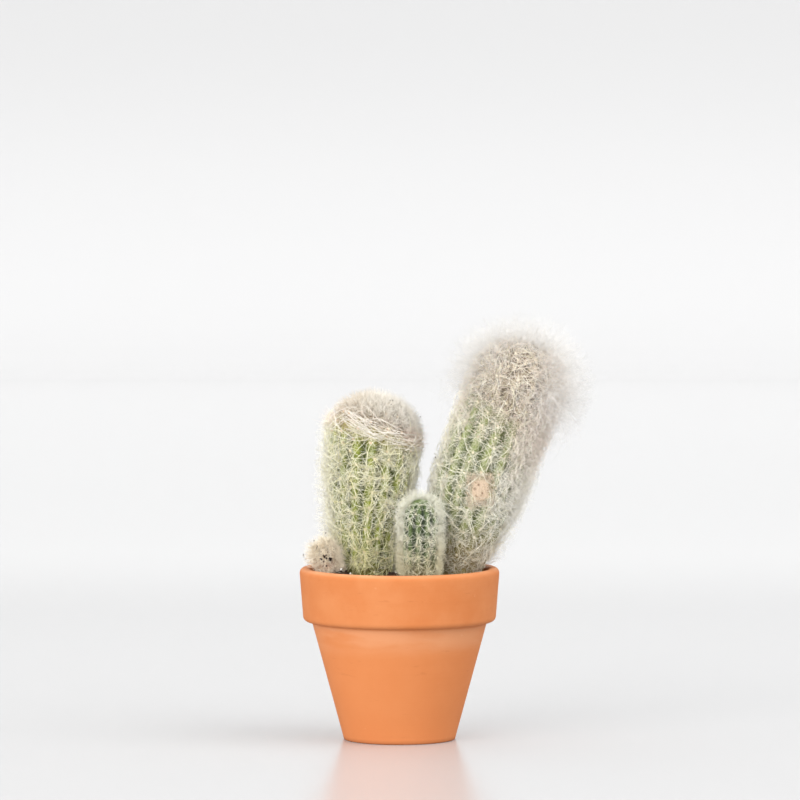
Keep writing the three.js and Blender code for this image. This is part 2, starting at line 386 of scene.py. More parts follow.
def axisPoint(stem, t):
    a, b, c, d = (np.array(point, dtype=float) for point in stem["path"])
    t = np.asarray(t, dtype=float)[..., None]
    return (1 - t) ** 3 * a + 3 * (1 - t) ** 2 * t * b + 3 * (1 - t) * t * t * c + t ** 3 * d


def axisSpeed(stem, t):
    a, b, c, d = (np.array(point, dtype=float) for point in stem["path"])
    t = np.asarray(t, dtype=float)[..., None]
    return 3 * (1 - t) ** 2 * (b - a) + 6 * (1 - t) * t * (c - b) + 3 * t * t * (d - c)


def unit(vectors):
    return vectors / np.maximum(np.linalg.norm(vectors, axis=-1, keepdims=True), 1e-9)


def stemFrame(stem, t):
    up = unit(axisSpeed(stem, t))
    right = unit(np.cross(np.array([0.0, 1.0, 0.0]), up))
    return axisPoint(stem, t), up, right, np.cross(up, right)


def stemRadius(stem, t):
    grown = smoothstep(t, 0.05, stem["swell"])
    body = stem["footRadius"] + (stem["fullRadius"] - stem["footRadius"]) * grown
    cap = np.clip((1 - t) * stem["length"] / stem["dome"], 0, 1)
    return body * np.sqrt(np.clip(1 - (1 - cap) ** 2, 0, 1))


def outward(stem, t, angle):
    # a point of the axis, the way up it, and the way straight out of it at an angle
    middle, up, right, back = stemFrame(stem, t)
    return middle, up, right * np.cos(angle)[..., None] + back * np.sin(angle)[..., None]


def surfacePoint(stem, t, angle, height):
    # a point over the rib crests, with the directions out of the skin, up the stem and round it
    middle, up, out = outward(stem, t, angle)
    step = 0.004
    slope = (stemRadius(stem, t - step) - stemRadius(stem, t + step)) / (2 * step * stem["length"])
    normal = unit(out + up * slope[..., None])
    around = np.cross(up, out)
    point = middle + out * stemRadius(stem, t)[..., None] + normal * np.asarray(height)[..., None]
    return point, normal, np.cross(normal, around) * -1, around


for stem in stems.values():
    shares = np.linspace(0, 1, 401)
    line = axisPoint(stem, shares)
    stem["length"] = np.linalg.norm(np.diff(line, axis=0), axis=1).sum()
    stem["soilShare"] = shares[np.argmax(line[:, 2] > soilLevel)]
    stem["domeShare"] = 1 - stem["dome"] / stem["length"]


def heightOver(stem, points, guess=0.5):
    # how far points are outside the rib crests, and the way out of the skin there
    t = np.full(points.shape[:-1], guess) if np.isscalar(guess) else guess
    for _ in range(axisSteps):
        speed = axisSpeed(stem, t)
        ahead = ((points - axisPoint(stem, t)) * speed).sum(-1) / (speed * speed).sum(-1)
        t = np.clip(t + ahead, 0, stem["domeShare"])
    offset = points - axisPoint(stem, t)
    up = unit(axisSpeed(stem, t))
    distance = np.linalg.norm(offset, axis=-1)
    climb = np.clip((offset * up).sum(-1) / np.maximum(distance, 1e-9), 0, 1)
    wide = np.maximum(stemRadius(stem, t), 0.1)
    radius = 1 / np.sqrt((1 - climb ** 2) / wide ** 2 + climb ** 2 / stem["dome"] ** 2)
    return distance - radius, unit(offset), t


def tubercles(stem, t, angle):
    # how near a place is to the crest of its rib, and to the middle of a tubercle along it
    crest = np.abs(np.cos(stem["ribs"] * angle / 2)) ** ribs["sharpness"]
    rib = np.round(angle / tau * stem["ribs"])
    row = (1 - t) * stem["length"] / stem["areoleGap"] - ribs["firstRow"] - ribs["stagger"] * (rib % 2)
    return crest, 0.5 + 0.5 * np.cos(tau * row)


def skinDepth(stem, t, angle):
    # how far the ribbed skin lies under a smooth one over the tubercles
    crest, knob = tubercles(stem, t, angle)
    shown = smoothstep(t, stem["soilShare"], stem["soilShare"] + ribs["fade"])
    share = np.minimum(1, stemRadius(stem, t) / stem["fullRadius"])
    return stem["ribDepth"] * shown * share * (1 - crest + ribs["knobDepth"] * crest * (1 - knob))


def areoles(stem, random):
    # about one on each tubercle, in rows that are staggered from rib to rib
    gap = stem["areoleGap"] / stem["length"]
    rows = int(stem["length"] * (1 - stem["soilShare"]) / stem["areoleGap"])
    row, rib = np.meshgrid(np.arange(rows), np.arange(stem["ribs"]), indexing="ij")
    t = 1 - (row + ribs["firstRow"] + ribs["stagger"] * (rib % 2)) * gap
    angle = tau * rib / stem["ribs"]
    crowded = (stemRadius(stem, t) < ribs["crowded"] * stem["fullRadius"]) & (rib % 2 == 1)
    kept = (t > stem["soilShare"] + 0.01) & ~crowded
    t, angle = t[kept], angle[kept]
    t = np.minimum(t + random.normal(0, ribs["rowScatter"], len(t)) * gap, 0.995)
    return t, angle + random.normal(0, ribs["ribScatter"], len(t)) * tau / stem["ribs"]


areoleRandom = np.random.default_rng(2)
for stem in stems.values():
    stem["areoles"] = areoles(stem, areoleRandom)


# The crown of the left stem starts at a slanting edge, and so does the darker skin near the right one's tip

crownEdge = {
    "stem_left": {"height": 123.6, "rise": 5.0, "highAt": math.radians(-160)},
    "stem_right": {"height": 130.5, "rise": 4.5, "highAt": math.radians(-170)},
}


def overEdge(name, t, angle):
    # how far over that edge, in mm
    edge = crownEdge[name]
    return axisPoint(stems[name], t)[..., 2] - edge["height"] - edge["rise"] * np.cos(angle - edge["highAt"])


# The soil: a lumpy bed with loose crumbs on it

soilBed = {
    "gap": 0.3, "lump": 0.6, "wave": 11, "rough": 0.22, "rings": 26, "steps": 120, "footFillet": 3.2,
    "crumbs": 900, "crumbSizes": (0.35, 1.1), "perliteGrains": 26, "perliteSizes": (0.5, 0.95),
    "crumbStretch": (0.55, 1.2), "crumbDents": (0.75, 1.2), "wallGap": 1.2, "stemGap": 0.3, "rest": 0.15,
    "dark": (0.022, 0.014, 0.010), "brown": (0.060, 0.035, 0.022), "dry": (0.13, 0.085, 0.055),
    "perlite": (0.82, 0.80, 0.76), "perliteDark": (0.6, 0.56, 0.5),
    "heaps": [(-29, -14, 4.5, 4.4), (-22, -13, 5, 4.6), (-1.5, -12, 6, 4.4), (26, -14, 6, 2.6)],
}


def soilTop(x, y):
    edge = np.hypot(x, y) / innerRadius(soilLevel)
    u, v = tau * x / soilBed["wave"], tau * y / soilBed["wave"]
    lumps = (np.sin(u) * np.cos(v) + np.sin(2 * u - v) / 2) / 1.5
    heaped = sum(rise * np.exp(-((x - heapX) ** 2 + (y - heapY) ** 2) / reach ** 2)
                 for heapX, heapY, reach, rise in soilBed["heaps"])
    return soilLevel + soilBed["lump"] * lumps - 0.5 * edge ** 4 + heaped * np.clip(8 - 8 * edge, 0, 1)


def soilMaterial():
    material, tree, shader = newMaterial("soil", 0.95, 0.2)
    colour = blendPatches(tree, soilBed["dark"], soilBed["brown"], 700, 0.42, 0.6)
    colour = blendPatches(tree, colour, soilBed["dry"], 260, 0.58, 0.72)
    tree.links.new(colour, shader.inputs["Base Color"])
    addBump(tree, shader, noiseOf(tree, 1800, 5, 0.7), 0.9, 0.0006)
    return material


def makeSoil():
    fillet, rings, gap = soilBed["footFillet"], soilBed["rings"], soilBed["gap"]
    bottom = clayPot["floor"] + gap
    wall = innerRadius(soilLevel) - gap
    outline = [(0, bottom), (clayPot["innerFloorRadius"] - fillet, bottom),
               (innerRadius(bottom + fillet) - gap, bottom + fillet)]
    outline += [(wall * ring / rings, soilLevel) for ring in range(rings, -1, -1)]
    bm = turnedShape(outline, soilBed["steps"], False)
    random = np.random.default_rng(3)

    def heap(points):
        top = points[:, 2] > soilLevel - 0.01
        x, y = points[top, 0], points[top, 1]
        points[top, 2] = soilTop(x, y) + random.normal(0, soilBed["rough"], top.sum())
        return placed(points)

    movePoints(bm, heap)
    pieceFrom(bm, "soil_bed", soilMaterial(), "potting_soil", "soil")


def makeCrumbs(name, places, sizes, material, random):
    # a small rough lump at each place
    bm = bmesh.new()
    for place, size in zip(places, sizes):
        made = bmesh.ops.create_icosphere(bm, subdivisions=1, radius=size)
        bmesh.ops.scale(bm, verts=made["verts"], vec=random.uniform(*soilBed["crumbStretch"], 3))
        for vert in made["verts"]:
            vert.co *= random.uniform(*soilBed["crumbDents"])
        turnAndPlace(bm, made["verts"], random.normal(size=3), place)
    movePoints(bm, placed)
    piece = pieceFrom(bm, name, material, "potting_soil")
    piece.data.polygons.foreach_set("use_smooth", np.zeros(len(piece.data.polygons), dtype=bool))


def scatterOnSoil(count, random):
    # places on the soil, outside the stems
    radius = (innerRadius(soilLevel) - soilBed["wallGap"]) * np.sqrt(random.random(count))
    angle = random.uniform(0, tau, count)
    x, y = radius * np.cos(angle), radius * np.sin(angle)
    places = np.stack([x, y, soilTop(x, y) + soilBed["rest"]], axis=1)
    nearest = [min(heightOver(stem, place)[0] for stem in stems.values()) for place in places]
    return places[np.array(nearest) > soilBed["stemGap"]]


def perliteLook():
    material, tree, shader = newMaterial("perlite", 0.9, 0.3)
    colour = blendPatches(tree, soilBed["perlite"], soilBed["perliteDark"], 1500, 0.4, 0.7)
    tree.links.new(colour, shader.inputs["Base Color"])
    return material


def makeLoose(name, count, sizes, material, random):
    places = scatterOnSoil(count, random)
    makeCrumbs(name, places, random.uniform(*sizes, len(places)), material, random)


makeSoil()
crumbMaterial, perliteMaterial = soilMaterial(), perliteLook()
soilRandom = np.random.default_rng(7)
makeLoose("soil_crumbs", soilBed["crumbs"], soilBed["crumbSizes"], crumbMaterial, soilRandom)
makeLoose("soil_perlite", soilBed["perliteGrains"], soilBed["perliteSizes"], perliteMaterial, soilRandom)


# The ribbed skins

ribSteps = 8
skins = {
    "stem_left": {
        "rows": 96,
        "crest": (0.19, 0.225, 0.036), "furrowShade": (0.045, 0.058, 0.006), "patch": (0.295, 0.335, 0.052),
        "corky": (0.125, 0.11, 0.018), "corkyTop": 0.004,
        "edge": (0.36, 0.31, 0.11), "crown": (0.44, 0.37, 0.26), "crownShade": (0.18, 0.13, 0.075),
        "fleck": (0.52, 0.53, 0.26), "flecks": 0.25,
    },
    "stem_right": {
        "rows": 110,
        "crest": (0.215, 0.25, 0.09), "furrowShade": (0.08, 0.10, 0.032), "patch": (0.28, 0.315, 0.115),
        "corky": (0.22, 0.17, 0.065), "corkyTop": 0.009,
        "edge": (0.24, 0.24, 0.13), "crown": (0.38, 0.31, 0.22), "crownShade": (0.13, 0.095, 0.06),
        "fleck": (0.52, 0.52, 0.34), "flecks": 0.35,
    },
    "stem_middle": {
        "rows": 48,
        "crest": (0.056, 0.086, 0.025), "furrowShade": (0.01, 0.02, 0.006), "patch": (0.11, 0.155, 0.042),
        "corky": (0.12, 0.09, 0.035), "corkyTop": 0.004, "fleck": (0.26, 0.31, 0.15), "flecks": 0.2,
    },
    "offset_left": {
        "rows": 30,
        "crest": (0.42, 0.33, 0.22), "furrowShade": (0.20, 0.14, 0.09), "patch": (0.50, 0.40, 0.29),
        "corky": (0.40, 0.24, 0.18), "corkyTop": 0.004, "fleck": (0.66, 0.56, 0.42), "flecks": 0.5,
    },
}
scar = {
    "x": 32.2, "z": 101.2, "halfWidth": 4.5, "halfHeight": 5.5, "proud": 0.4, "clearShare": 0.42,
    "ragged": 0.5,
    "colour": (0.55, 0.425, 0.31), "dark": (0.23, 0.15, 0.095),
    "hairs": 1900, "hairLength": 2.1, "hairWidth": 0.055,
}


def scarShare(points):
    # a squarish corky scar on the front of the leaning stem: 1 on its edge and less inside it
    side = (points[..., 0] - scar["x"]) / scar["halfWidth"]
    rise = (points[..., 2] - scar["z"]) / scar["halfHeight"]
    return np.where(points[..., 1] < 0, (side ** 4 + rise ** 4) ** 0.25, 9)


def skinMaterial(name, look):
    material, tree, shader = newMaterial(name + "_skin", 0.6, 0.3)
    colour = blendPatches(tree, look["crest"], look["patch"], 130, 0.42, 0.62)
    # painted shade: the skin darkens down into the furrows between the ribs
    colour = blendColours(tree, rangeOf(tree, attributeOf(tree, "furrowShade"), 0.1, 0.85), colour, look["furrowShade"])
    if "crown" in look:
        over = attributeOf(tree, "overEdge")
        colour = blendColours(tree, rangeOf(tree, over, -0.8, -0.1), colour, look["edge"])
        # painted shade: darker patches on the crown skin stand in for the shade between its tufts
        crown = blendPatches(tree, look["crown"], look["crownShade"], 420, 0.45, 0.58)
        colour = blendColours(tree, rangeOf(tree, over, -0.1, 0.2), colour, crown)
    soil, corkyTop = soilLevel * mm, look["corkyTop"]
    base = rangeOf(tree, axisOf(tree, "Z"), soil + 3 * corkyTop, soil + corkyTop)
    colour = blendColours(tree, base, colour, look["corky"])
    colour = colourOver(tree, colour, look["fleck"], patches(tree, 1300, 0.5, 0.66), look["flecks"])
    if name == "stem_right":
        inside = addNode(tree, "ShaderNodeMath", operation="ADD")
        tree.links.new(attributeOf(tree, "scar"), inside.inputs[0])
        tree.links.new(noiseOf(tree, 520, 3, 0.6), inside.inputs[1])
        scarColour = blendPatches(tree, scar["colour"], scar["dark"], 620, 0.56, 0.62)
        colour = blendColours(tree, rangeOf(tree, inside.outputs["Value"], 0.42, 0.85), colour, scarColour)
    tree.links.new(colour, shader.inputs["Base Color"])
    addBump(tree, shader, noiseOf(tree, 1500, 4, 0.6), 0.35, 0.0002)
    return material


def makeSkin(name, stem, look):
    rows = look["rows"]
    shares = [1 - (1 - row / rows) ** 1.4 for row in range(rows)]
    outline = [(0, 0)] + [(1, share) for share in shares] + [(0, 1)]
    bm = turnedShape(outline, stem["ribs"] * ribSteps, False)
    marks = {}

    def wrap(points):
        t = points[:, 2]
        angle = np.arctan2(points[:, 1], points[:, 0])
        depth = skinDepth(stem, t, angle)
        # how deep in its furrow each point lies, which the painted shade follows
        marks["furrowShade"] = depth / stem["ribDepth"]
        if name in crownEdge:
            marks["overEdge"] = np.clip(overEdge(name, t, angle) / 10, -1, 1)
        if name == "stem_right":
            share = scarShare(surfacePoint(stem, t, angle, np.zeros(len(t)))[0])
            depth += (-scar["proud"] - depth) * smoothstep(share, 1.2, 0.7)
            marks["scar"] = np.clip(1 - share, -1, 1)
        radius = np.where(np.hypot(points[:, 0], points[:, 1]) < 0.5, 0, stemRadius(stem, t) - depth)
        middle, _, out = outward(stem, t, angle)
        return placed(middle + out * radius[:, None])

    movePoints(bm, wrap)
    skin = pieceFrom(bm, name + "_skin", skinMaterial(name, look), slotOf[name], name)
    for mark, values in marks.items():
        giveAttribute(skin.data, mark, values)


slotOf = {row["node"]: row["material_slot"] for row in frame["record"]["subparts"]}
for name, stem in stems.items():
    makeSkin(name, stem, skins[name])


# Hair: lines of points in mm that become slim three-sided strands with pointed tips

def makeHair(name, bundles, material, slotName):
    # a bundle is (lines, root radius in mm, tone of each line, warmth of each line)
    bm = bmesh.new()
    layers = {key: bm.verts.layers.float.new(key) for key in ("tone", "warmth", "reach")}
    hairLayer = bm.verts.layers.int.new("hair")
    cornerLayer = bm.verts.layers.int.new("corner")
    for lines, width, tone, warmth in bundles:
        corners = strandCorners(lines, width)
        top = []
        for hair in range(len(lines)):
            verts = [bm.verts.new(spot) for spot in corners[hair, 0]]
            for corner, vert in enumerate(verts):
                vert[hairLayer], vert[cornerLayer] = hair, corner
                vert[layers["tone"]], vert[layers["warmth"]] = tone[hair], warmth[hair]
            face = bm.faces.new(verts)
            top += [*verts, *face.edges, face]
        for step in range(1, lines.shape[1]):
            top = bmesh.ops.extrude_face_region(bm, geom=top)["geom"]
            topVerts = [part for part in top if isinstance(part, bmesh.types.BMVert)]
            for vert in topVerts:
                vert.co = corners[vert[hairLayer], step, vert[cornerLayer]]
                vert[layers["reach"]] = step / (lines.shape[1] - 1)
        bmesh.ops.remove_doubles(bm, verts=topVerts, dist=1e-8)
    for key in ("hair", "corner"):
        bm.verts.layers.int.remove(bm.verts.layers.int[key])
    bmesh.ops.recalc_face_normals(bm, faces=bm.faces)
    pieceFrom(bm, name, material, slotName)


def strandCorners(lines, width):
    # three corners round each point of a strand, which all meet at its tip
    count, length = lines.shape[:2]
    along = unit(np.gradient(lines, axis=1))
    side = unit(np.cross(along[:, 0], unit(np.array([0.31, -0.2, 0.93]))))
    corners = np.empty((count, length, 3, 3))
    for step in range(length):
        way = along[:, step]
        side = unit(side - way * (side * way).sum(-1, keepdims=True))
        other = np.cross(way, side)
        radius = width * math.sqrt(1 - (step / (length - 1)) ** 2)
        for corner in range(3):
            turn = tau * corner / 3
            out = side * math.cos(turn) + other * math.sin(turn)
            corners[:, step, corner] = lines[:, step] + radius * out
    return placed(corners)


# the colours of a strand's root and tip, of warm and of shaded strands, and of the wool low down near the
# soil
woolColours = {
    "leftWool": [
        (0.87, 0.83, 0.56), (0.955, 0.94, 0.82), (0.86, 0.74, 0.50), (0.76, 0.71, 0.40), (0.82, 0.78, 0.34)],
    "leftVeil": [
        (0.90, 0.87, 0.73), (0.96, 0.95, 0.89), (0.95, 0.84, 0.76), (0.86, 0.82, 0.66), (0.84, 0.79, 0.64)],
    "leftCrown": [
        (0.79, 0.725, 0.62), (0.81, 0.78, 0.715), (0.93, 0.715, 0.61), (0.63, 0.55, 0.44),
        (0.62, 0.53, 0.32)],
    "leftBand": [
        (0.83, 0.775, 0.69), (0.90, 0.865, 0.81), (0.86, 0.65, 0.55), (0.66, 0.58, 0.45), (0.62, 0.53, 0.32)],
    "rightWool": [
        (0.91, 0.87, 0.70), (0.98, 0.97, 0.89), (0.98, 0.83, 0.74), (0.80, 0.75, 0.55), (0.58, 0.48, 0.33)],
    # painted light: the haze is near white at its roots, to lift the shade inside the dense wool, and its
    # pale warm colour lifts the cloud's shaded right side
    "rightHaze": [
        (0.96, 0.935, 0.90), (0.55, 0.545, 0.53), (0.90, 0.88, 0.855), (0.78, 0.765, 0.73),
        (0.74, 0.72, 0.67)],
    "rightVeil": [
        (0.92, 0.89, 0.79), (0.97, 0.96, 0.93), (0.98, 0.85, 0.765), (0.88, 0.85, 0.74), (0.86, 0.82, 0.73)],
    "scarFluff": [
        (0.78, 0.66, 0.50), (0.93, 0.86, 0.73), (0.88, 0.74, 0.58), (0.42, 0.31, 0.20), (0.74, 0.58, 0.44)],
    "stem_middle_wool": [
        (0.91, 0.90, 0.75), (0.95, 0.95, 0.885), (0.86, 0.77, 0.53), (0.84, 0.81, 0.63), (0.79, 0.72, 0.47)],
    "offset_left_wool": [
        (0.88, 0.78, 0.60), (0.91, 0.85, 0.73), (0.90, 0.76, 0.62), (0.84, 0.73, 0.56), (0.92, 0.82, 0.66)],
}
lowTint = {"high": 92, "low": 66, "share": 0.6}


def hairMaterial(name, root, tip, warm, shade, low):
    material, tree, shader = newMaterial(name, 0.6, 0.25)
    colour = blendColours(tree, attributeOf(tree, "reach"), root, tip)
    colour = blendColours(tree, attributeOf(tree, "warmth"), colour, warm)
    colour = blendColours(tree, rangeOf(tree, attributeOf(tree, "tone"), 0.6, 1.0), colour, shade)
    nearSoil = rangeOf(tree, axisOf(tree, "Z"), lowTint["high"] * mm, lowTint["low"] * mm)
    colour = colourOver(tree, colour, low, nearSoil, lowTint["share"])
    tree.links.new(colour, shader.inputs["Base Color"])
    return material


hairMaterials = {name: hairMaterial(name, *colours) for name, colours in woolColours.items()}


rootDepth = 0.15  # how far hairs and areoles start inside the skin
lockScatter = 0.25  # in radians, round the way of a lock


def growHairs(stem, roots, ways, lengths, lifts, look, random):
    # each hair steps along its way, curls, and is drawn to a height over the skin
    count, steps = len(roots), look["points"] - 1
    lines = np.empty((count, steps + 1, 3))
    lines[:, 0] = roots
    way, here = ways, roots
    curlAxis = unit(random.normal(size=(count, 3)))
    curl = random.normal(0, look.get("curl", 0), count)[:, None] / steps
    droop = np.array([0, 0, -look.get("droop", 0) / steps])
    guess = heightOver(stem, roots)[2]
    for step in range(1, steps + 1):
        wander = random.normal(0, look.get("wander", 0), (count, 3))
        way = unit(way + np.cross(curlAxis, way) * curl + wander + droop)
        here = here + way * (lengths / steps)[:, None]
        height, out, guess = heightOver(stem, here, guess)
        target = lifts * math.sin(math.pi * (0.15 + 0.7 * step / steps))
        pull = np.maximum(look.get("hug", 0) * (target - height), look["least"] - height)
        here = here + out * pull[:, None]
        lines[:, step] = here
    return lines


# how far hairs keep from other stems, soil and clay; ownStem is how much nearer another stem may be
clearance = {"otherStem": 0.5, "ownStem": 1.5, "soil": 0.1, "rim": 1, "wall": 0.5, "leaningWall": 2.2}


def isClear(name, lines):
    # which lines stay out of the other stems, the scar, the soil and the pot's wall
    clear = np.ones(len(lines), dtype=bool)
    own = heightOver(stems[name], lines)[0]
    for other, stem in stems.items():
        if other != name:
            away = heightOver(stem, lines)[0]
            clear &= ((away > clearance["otherStem"]) & (away > own - clearance["ownStem"])).all(axis=1)
    if name == "stem_right":
        ragged = scar["ragged"] * np.modf(np.arange(len(lines)) * 0.618)[0]  # so its edge isn't a clean line
        clear &= scarShare(lines).min(axis=1) > scar["clearShare"] + ragged
    x, y, z = lines[..., 0], lines[..., 1], lines[..., 2]
    inPot = z < clayPot["height"] + clearance["rim"]
    wallGap = clearance["leaningWall"] if name == "stem_right" else clearance["wall"]
    isRoot = np.arange(lines.shape[1]) == 0
    clear &= ((z > soilTop(x, y) + clearance["soil"]) | isRoot).all(axis=1)
    clear &= (~inPot | (np.hypot(x, y) < innerRadius(z) - wallGap)).all(axis=1)
    return clear


def woolShare(stem, t, angle):
    # how full the wool is: it is thin in long patches down the furrows
    along = t * stem["length"]
    wave = np.sin(3 * angle + 1.7 * np.sin(along / 8)) * np.sin(along / 5.5 + 1.3 * np.sin(2 * angle + 1))
    return smoothstep(wave + 0.5 * np.cos(angle) ** 2, -0.55, 0.35)


def bareSpot(stem, lines):
    # 1 for a hair whose middle lies on the green between two areoles of a rib
    out, t = heightOver(stem, lines[:, lines.shape[1] // 2])[1:]
    right, back = stemFrame(stem, t)[2:]
    crest, knob = tubercles(stem, t, np.arctan2((out * back).sum(-1), (out * right).sum(-1)))
    return smoothstep(crest * (1 - knob), 0.2, 0.6)


def facing(angle):
    # 1 on the front, where the wool is thin enough to show the skin, and 0 at the sides and behind
    return np.clip(-np.sin(angle), 0, 1) ** 2


def hairRoots(name, look, random):
    # on the areoles, where each has its own share of the hairs, or all over a stretch of the skin
    stem = stems[name]
    if "each" in look:
        t, angle = stem["areoles"]
        home = np.repeat(np.arange(len(t)), look["each"])
        fullness = random.uniform(look.get("thinnest", 0.5), 1, len(t))
        home = home[random.random(len(home)) < fullness[home]]
        count = len(home)
        t = np.clip(t[home] + random.normal(0, look["scatter"], count) / stem["length"], 0, 0.999)
        angle = angle[home] + random.normal(0, look["scatter"], count) / np.maximum(stemRadius(stem, t), 2)
    else:
        count = look["count"]
        home = np.arange(count)
        t = random.uniform(*look["between"], count)
        angle = random.uniform(*look.get("angles", (0, tau)), count)
    t = np.maximum(t, stem["soilShare"] + 0.015)
    share = 1 - look.get("patchy", 0) * (1 - woolShare(stem, t, angle))
    if "where" in look:
        share = share * look["where"](t, angle)
    kept = random.random(count) < share
    return t[kept], angle[kept], home[kept]


def growLayer(name, look, random):
    # spread 0 stands straight out of the skin and 1 lies along it; comb leans hairs up the stem; locks is
    # the number of ways in which the hairs of one areole lie; bulge lengthens them towards +X
    stem = stems[name]
    t, angle, home = hairRoots(name, look, random)
    count = len(t)
    roots, normal, up, around = surfacePoint(stem, t, angle, -skinDepth(stem, t, angle) - rootDepth)
    turn = random.uniform(0, tau, count)
    if "locks" in look:
        lockTurns = random.uniform(0, tau, (home.max() + 1, look["locks"]))
        turn = lockTurns[home, random.integers(0, look["locks"], count)]
        turn = turn + random.normal(0, lockScatter, count)
    turn = turn[:, None]
    lean = np.clip(random.normal(look["spread"], look["spreadVary"], count), 0.02, 1.2)[:, None] * tau / 4
    along = up * (np.cos(turn) + look.get("comb", 0)) + around * np.sin(turn)
    ways = unit(normal * np.cos(lean) + along * np.sin(lean))
    low, high = np.broadcast_to(look["length"], 2)
    reach = (low + (high - low) * t ** look.get("climb", 4)) * (1 + look.get("bulge", 0) * np.cos(angle))
    lengths = reach * random.uniform(1 - look["vary"], 1 + look["vary"], count)
    lifts = reach / high * random.uniform(*look.get("lift", (0, 0)), count)
    lines = growHairs(stem, roots, ways, lengths, lifts, look, random)
    clear = isClear(name, lines)
    if "bare" in look:
        clear &= random.random(count) > look["bare"] * bareSpot(stem, lines)
    warmth = look["warm"](t, angle, random) if "warm" in look else np.zeros(count)
    # painted shade: more strands take the shade colour on the left, where the key light falls hardest
    tone = np.clip(random.random(count) - look.get("paintedShadeLeft", 0) * np.cos(angle), 0, 1)
    return lines[clear], look["width"], tone[clear], warmth[clear]


# Wool: what the layers of two stems share, then each stem's own

webWool = {
    "points": 3, "spread": 0.85, "spreadVary": 0.16, "length": 4.6, "vary": 0.45, "curl": 1.6, "wander": 0.18,
    "droop": 0.2, "lift": (0.1, 1.4), "hug": 0.75, "least": -0.3, "width": 0.066,
}
tuftWool = {
    "locks": 3, "scatter": 0.5, "points": 4, "spread": 0.75, "spreadVary": 0.2, "vary": 0.4, "curl": 1.6,
    "wander": 0.13, "droop": 0.2, "lift": (0.6, 2.2), "hug": 0.6, "least": 0,
}
fanWool = {
    "each": 4, "thinnest": 0, "locks": 1, "scatter": 0.3, "spread": 0.95, "spreadVary": 0.1, "vary": 0.5,
    "curl": 1.1, "wander": 0.1, "hug": 0.75, "least": 0.3,
}
smallWool = {
    "points": 3, "vary": 0.3, "curl": 1.4, "wander": 0.15, "droop": 0.1, "hug": 0.5, "least": 0.3,
}
veilWool = {
    "points": 3, "spread": 0.6, "spreadVary": 0.25, "vary": 0.35, "curl": 1.4, "wander": 0.15, "hug": 0.55,
    "least": 0.3, "width": 0.036,
}
threadWool = {
    "points": 7, "spread": 1, "spreadVary": 0.1, "vary": 0.5, "curl": 1.9, "wander": 0.18, "hug": 0.8,
    "least": 0.3,
}


def warmTowards(low, high, least, most):
    # hairs turn warm from one share of the stem to another, each by an amount of its own
    return lambda t, angle, random: smoothstep(t, low, high) * random.uniform(least, most, len(t))


def overLeft(t, angle):
    return overEdge("stem_left", t, angle)


def nearEdge(t, angle):
    # 1 on the lower edge of the left crown, falling off above and below it
    return np.clip(1 - np.abs(overLeft(t, angle) - 1) / 5, 0, 1)


def thinFront(t, angle):
    # the left veil's fullness: it leaves the front nearly bare low down
    return 1 - (0.9 - 0.15 * smoothstep(t, 0.3, 0.6)) * facing(angle)


leftWool = {
    "web": {
        **webWool, "each": 132, "thinnest": 0.02, "scatter": 0.85, "patchy": 0.5, "bare": 0.85,
        "where": lambda t, angle: (overLeft(t, angle) < 0) * (1 - 0.35 * smoothstep(t, 0.5, 0.25)),
    },
    "tufts": {
        **tuftWool, "each": 18, "thinnest": -0.4, "patchy": 0.7, "length": 5.8, "width": 0.105,
        "where": lambda t, angle: overLeft(t, angle) < -1,
    },
    "fans": {
        **fanWool, "points": 6, "comb": -0.3, "length": 10, "lift": (1.2, 3), "width": 0.105,
        "where": lambda t, angle: overLeft(t, angle) < -2,
    },
    "veil": {
        **veilWool, "each": 80, "scatter": 1.1, "length": (10.5, 6.6), "climb": 1, "bulge": -0.17,
        "droop": 0.1, "lift": (0.6, 6.2), "patchy": 0.2,
        "where": lambda t, angle: (overLeft(t, angle) < 1) * thinFront(t, angle),
        "warm": lambda t, angle, random: 0.9 * nearEdge(t, angle),
    },
    "threads": {
        **threadWool, "count": 700, "between": (0.1, 0.84), "length": 12, "lift": (1.2, 3), "width": 0.11,
    },
    "crown": {
        "count": 21000, "between": (0.68, 1), "points": 2, "spread": 0.35, "spreadVary": 0.28, "comb": 0.25,
        "length": 4.6, "vary": 0.3, "least": 0.3, "width": 0.085, "paintedShadeLeft": 0.5,
        "where": lambda t, angle: smoothstep(overLeft(t, angle), 0, 8) * 0.88 + 0.12 * (t > 0.84),
        "warm": lambda t, angle, random: nearEdge(t, angle) * random.random(len(t)),
    },
    "crownCurls": {
        "count": 7200, "between": (0.68, 1), "points": 3, "spread": 0.7, "spreadVary": 0.3, "comb": 0.2,
        "length": 5, "vary": 0.3, "curl": 1.8, "wander": 0.2, "least": 1.2, "width": 0.07, "paintedShadeLeft": 0.5,
        "where": lambda t, angle: smoothstep(overLeft(t, angle), 2, 7),
        "warm": lambda t, angle, random: nearEdge(t, angle) * random.random(len(t)),
    },
    "bristles": {
        "count": 6000, "between": (0.6, 0.9), "points": 2, "spread": 0.14, "spreadVary": 0.1, "length": 6.9,
        "vary": 0.3, "least": 0.3, "width": 0.065,
        "where": lambda t, angle: nearEdge(t, angle) * (1 - 0.9 * facing(angle)),
        "warm": lambda t, angle, random: random.uniform(0.6, 1, len(t)),
    },
}
crownBand = {
    "strands": 220, "points": 9, "width": 0.13, "sweep": (0.25, 1.0), "middle": 0.3, "scatter": 1.9,
    "slope": 3, "bow": 0.8, "waves": (2, 6), "height": (1.3, 3.6), "fullestAt": -1.0, "thinnest": 0.3,
}


